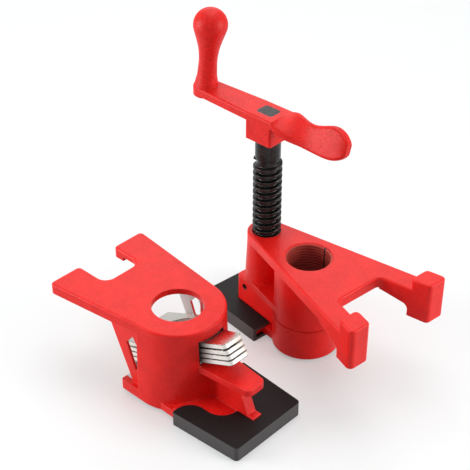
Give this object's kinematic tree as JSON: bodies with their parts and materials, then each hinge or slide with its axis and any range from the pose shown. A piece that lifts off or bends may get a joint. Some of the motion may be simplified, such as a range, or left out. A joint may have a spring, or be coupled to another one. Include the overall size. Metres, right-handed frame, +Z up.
{
  "type": "woodworking_pipe_clamp",
  "caption": "Woodworking pipe clamp set in red enamelled cast iron: screw head with crank handle and threaded pipe socket, and tail jaw with a clutch plate pack; the pipe is not included.",
  "frame": {"origin": "centre of the set's outline on the bench, level with the soles of the jaw pads", "axes": "+Z up along the pipe axes, away from the bench; +X from the tail fixture's fork to its jaw tip; +Y towards the head fixture"},
  "size_m": [0.1618, 0.1346, 0.1794],
  "materials": {
    "red_enamel": "semi-gloss red enamel over a fine cast skin",
    "black_plastic": "moulded black plastic, matte",
    "nickel_plate": "bright nickel plate with stamped edges",
    "black_steel": "black oxide with a light oil film",
    "spring_wire": "drawn spring wire",
    "pin_steel": "blackened roll pin"
  },
  "bodies": {
    "head_jaw": {"sliding_jaw": "red_enamel", "head_jaw_pad": "black_plastic", "retaining_pin": "pin_steel"},
    "head_frame": {"head_casting": "red_enamel"},
    "screw": {"spindle": "black_steel", "crank_handle": "red_enamel"},
    "tail_frame": {"tail_casting": "red_enamel", "tail_jaw_pad": "black_plastic", "clutch_spring": "spring_wire"},
    "clutch": {"clutch_plate_1": "nickel_plate", "clutch_plate_2": "nickel_plate", "clutch_plate_3": "nickel_plate", "clutch_plate_4": "nickel_plate"}
  },
  "joints": [
    {"name": "head_travel", "type": "slide", "parent": "head_jaw", "child": "head_frame", "axis": [0, 0, 1], "range_m": [0, 0.045]},
    {"name": "screw_turn", "type": "hinge", "parent": "head_jaw", "child": "screw", "pos_m": [-0.02337, 0.04219, 0.06], "axis": [0, 0, 1], "continuous": true},
    {"name": "tail_on_pipe", "type": "slide", "parent": "head_jaw", "child": "tail_frame", "axis": [0, 0, 1], "range_m": [0, 0.06]},
    {"name": "clutch_lever", "type": "hinge", "parent": "tail_frame", "child": "clutch", "pos_m": [-0.03319, -0.03398, 0.0132], "axis": [0, 1, 0], "range_deg": [0, 2], "stiffness_Nm_per_rad": 0.5, "springref_deg": -9.74, "deforming": ["clutch_spring"]}
  ],
  "couplings": [
    {"joint": "screw_turn", "follows": "head_travel", "rad_per_m": -1570.8}
  ]
}
